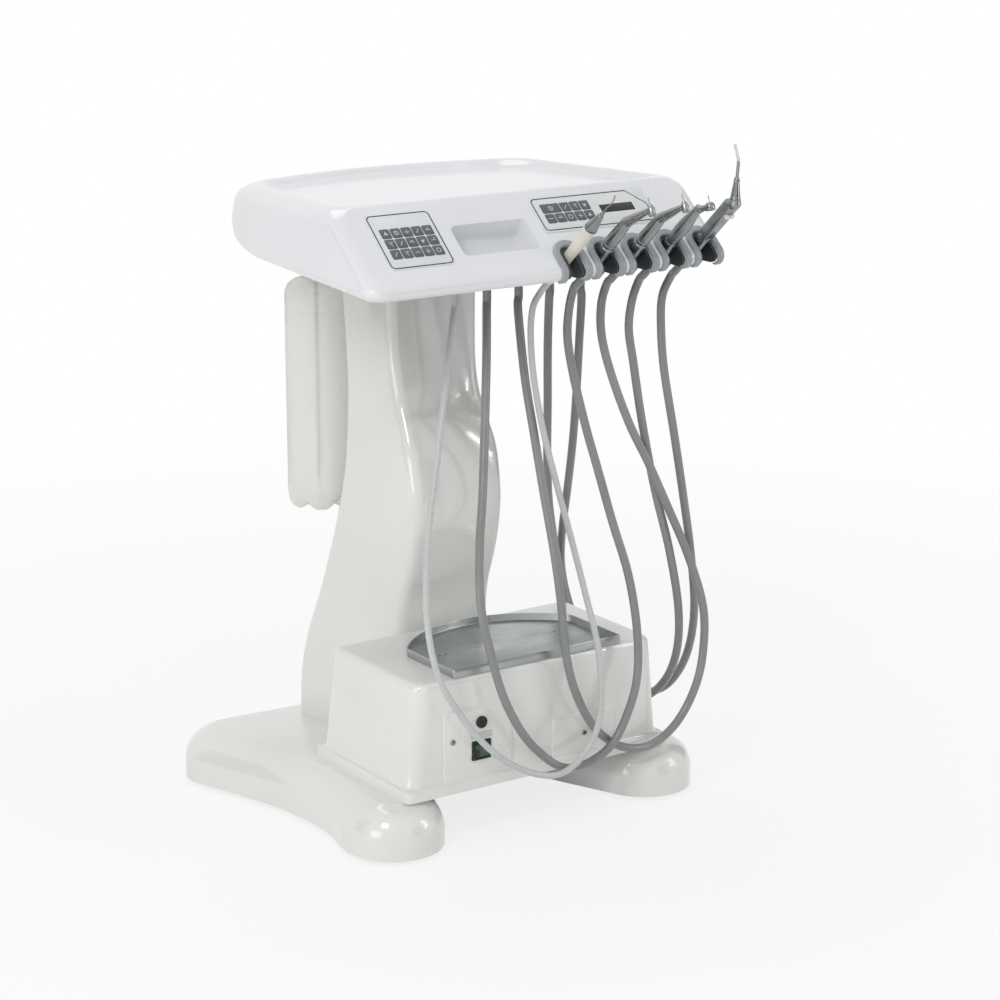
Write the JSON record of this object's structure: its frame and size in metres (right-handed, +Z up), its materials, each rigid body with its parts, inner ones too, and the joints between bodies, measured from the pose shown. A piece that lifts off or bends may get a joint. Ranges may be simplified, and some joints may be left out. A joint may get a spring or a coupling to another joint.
{
  "type": "mobile dental delivery unit",
  "caption": "White dental delivery unit on castors: base, utility box with steel tray, column, console with keypads, hose-fed handpieces in holders and a hanging water bottle.",
  "frame": {"origin": "on the floor, below the middle of the unit seen from above, hoses left out", "axes": "+X to the right of the operator who faces the keypads, +Y away from the operator, +Z up"},
  "size_m": [0.654, 0.6139, 0.9417],
  "materials": {
    "shell_white": "gloss moulded, white",
    "base_white": "gloss moulded, warm white",
    "pan_white": "satin sheet",
    "frame_steel": "grey powder coat",
    "zinc_steel": "zinc plated",
    "wheel_rubber": "matte",
    "case_grey": "satin",
    "brass_parts": "machined, nickel plated",
    "black_plastic": "fine texture",
    "rocker_green": "translucent rocker",
    "label_plain": "blank label",
    "screw_steel": "bright",
    "tray_steel": "brushed stainless",
    "keypad_face": "printed overlay",
    "display_dark": "smoked window",
    "board_green": "circuit board",
    "valve_metal": "machined",
    "trim_grey": "light grey, satin",
    "liner_dark": "dark, matte",
    "handle_ivory": "ivory, satin",
    "tip_steel": "polished",
    "motor_grey": "satin grey",
    "angle_metal": "satin nickel",
    "button_white": "gloss",
    "cable_light": "light grey, satin",
    "hose_grey": "mid grey, satin",
    "bottle_clear": "translucent",
    "cap_grey": "ribbed cap"
  },
  "bodies": {
    "unit": {"base_shell": "base_white", "base_frame": "frame_steel", "box_shell": "base_white", "box_floor": "zinc_steel", "power_supply": "case_grey", "pressure_regulator": "brass_parts", "switch_bezel": "black_plastic", "fuse_holder": "black_plastic", "name_plate": "label_plain", "box_screws": "screw_steel", "mains_inlet": "black_plastic", "air_fitting": "brass_parts", "column_shell": "base_white", "column_post": "frame_steel", "console_shell": "shell_white", "console_pan": "pan_white", "keypad_left": "keypad_face", "keypad_right": "keypad_face", "display_window": "display_dark", "control_board": "board_green", "valve_block": "valve_metal", "holder_trim_1": "trim_grey", "holder_trim_2": "trim_grey", "holder_trim_3": "trim_grey", "holder_trim_4": "trim_grey", "holder_trim_5": "trim_grey", "holder_liners": "liner_dark", "hose_1": "cable_light", "hose_2": "hose_grey", "hose_3": "hose_grey", "hose_4": "hose_grey", "hose_5": "hose_grey", "hose_glands": "cap_grey", "bottle_cap": "cap_grey"},
    "fork_fl": {"castor_fork_fl": "zinc_steel"},
    "wheel_fl": {"castor_wheel_fl": "wheel_rubber"},
    "fork_fr": {"castor_fork_fr": "zinc_steel"},
    "wheel_fr": {"castor_wheel_fr": "wheel_rubber"},
    "fork_rl": {"castor_fork_rl": "zinc_steel"},
    "wheel_rl": {"castor_wheel_rl": "wheel_rubber"},
    "fork_rr": {"castor_fork_rr": "zinc_steel"},
    "wheel_rr": {"castor_wheel_rr": "wheel_rubber"},
    "rocker": {"switch_rocker": "rocker_green"},
    "tray": {"tray": "tray_steel", "tray_rivets": "tray_steel"},
    "scaler": {"scaler_handle": "handle_ivory", "scaler_tip": "tip_steel"},
    "micromotor_a": {"motor_a": "motor_grey", "contra_angle_a": "angle_metal"},
    "bur_a": {"bur_a": "tip_steel"},
    "micromotor_b": {"motor_b": "motor_grey", "contra_angle_b": "angle_metal"},
    "bur_b": {"bur_b": "tip_steel"},
    "turbine": {"turbine_handpiece": "angle_metal"},
    "bur_c": {"bur_c": "tip_steel"},
    "syringe": {"syringe_body": "motor_grey", "syringe_nozzle": "tip_steel"},
    "air_button": {"air_button": "button_white"},
    "water_button": {"water_button": "button_white"},
    "bottle": {"water_bottle": "bottle_clear"}
  },
  "joints": [
    {"name": "swivel_fl", "type": "hinge", "parent": "unit", "child": "fork_fl", "pos_m": [-0.214, -0.13708, 0.06], "axis": [0, 0, 1], "continuous": true},
    {"name": "roll_fl", "type": "hinge", "parent": "fork_fl", "child": "wheel_fl", "pos_m": [-0.214, -0.12308, 0.021], "axis": [1, 0, 0], "continuous": true},
    {"name": "swivel_fr", "type": "hinge", "parent": "unit", "child": "fork_fr", "pos_m": [0.214, -0.13708, 0.06], "axis": [0, 0, 1], "continuous": true},
    {"name": "roll_fr", "type": "hinge", "parent": "fork_fr", "child": "wheel_fr", "pos_m": [0.214, -0.12308, 0.021], "axis": [1, 0, 0], "continuous": true},
    {"name": "swivel_rl", "type": "hinge", "parent": "unit", "child": "fork_rl", "pos_m": [-0.252, 0.23192, 0.06], "axis": [0, 0, 1], "continuous": true},
    {"name": "roll_rl", "type": "hinge", "parent": "fork_rl", "child": "wheel_rl", "pos_m": [-0.252, 0.24592, 0.021], "axis": [1, 0, 0], "continuous": true},
    {"name": "swivel_rr", "type": "hinge", "parent": "unit", "child": "fork_rr", "pos_m": [0.252, 0.23192, 0.06], "axis": [0, 0, 1], "continuous": true},
    {"name": "roll_rr", "type": "hinge", "parent": "fork_rr", "child": "wheel_rr", "pos_m": [0.252, 0.24592, 0.021], "axis": [1, 0, 0], "continuous": true},
    {"name": "switch_rock", "type": "hinge", "parent": "unit", "child": "rocker", "pos_m": [-0.099, -0.17868, 0.131], "axis": [1, 0, 0], "range_deg": [0, 12]},
    {"name": "tray_lift", "type": "slide", "parent": "unit", "child": "tray", "axis": [0, 0, 1], "range_m": [0, 0.1]},
    {"name": "scaler_lift", "type": "slide", "parent": "unit", "child": "scaler", "axis": [0, -0.7431, 0.6691], "range_m": [0, 0.12]},
    {"name": "micromotor_a_lift", "type": "slide", "parent": "unit", "child": "micromotor_a", "axis": [0, -0.7431, 0.6691], "range_m": [0, 0.12]},
    {"name": "micromotor_b_lift", "type": "slide", "parent": "unit", "child": "micromotor_b", "axis": [0, -0.7431, 0.6691], "range_m": [0, 0.12]},
    {"name": "turbine_lift", "type": "slide", "parent": "unit", "child": "turbine", "axis": [0, -0.7431, 0.6691], "range_m": [0, 0.12]},
    {"name": "syringe_lift", "type": "slide", "parent": "unit", "child": "syringe", "axis": [0, -0.7431, 0.6691], "range_m": [0, 0.12]},
    {"name": "bur_a_spin", "type": "hinge", "parent": "micromotor_a", "child": "bur_a", "pos_m": [0.0898, -0.29942, 0.872], "axis": [0, 0.4067, 0.9135], "continuous": true},
    {"name": "bur_b_spin", "type": "hinge", "parent": "micromotor_b", "child": "bur_b", "pos_m": [0.1456, -0.29942, 0.872], "axis": [0, 0.4067, 0.9135], "continuous": true},
    {"name": "bur_c_spin", "type": "hinge", "parent": "turbine", "child": "bur_c", "pos_m": [0.2014, -0.28309, 0.86416], "axis": [0, 0.2756, 0.9613], "continuous": true},
    {"name": "air_button_press", "type": "slide", "parent": "syringe", "child": "air_button", "axis": [0, 0.6691, 0.7431], "range_m": [0, 0.0025], "stiffness_N_per_m": 300, "springref_m": -0.001},
    {"name": "water_button_press", "type": "slide", "parent": "syringe", "child": "water_button", "axis": [0, 0.6691, 0.7431], "range_m": [0, 0.0025], "stiffness_N_per_m": 300, "springref_m": -0.001},
    {"name": "bottle_drop", "type": "slide", "parent": "unit", "child": "bottle", "axis": [0, 0, -1], "range_m": [0, 0.045]}
  ]
}
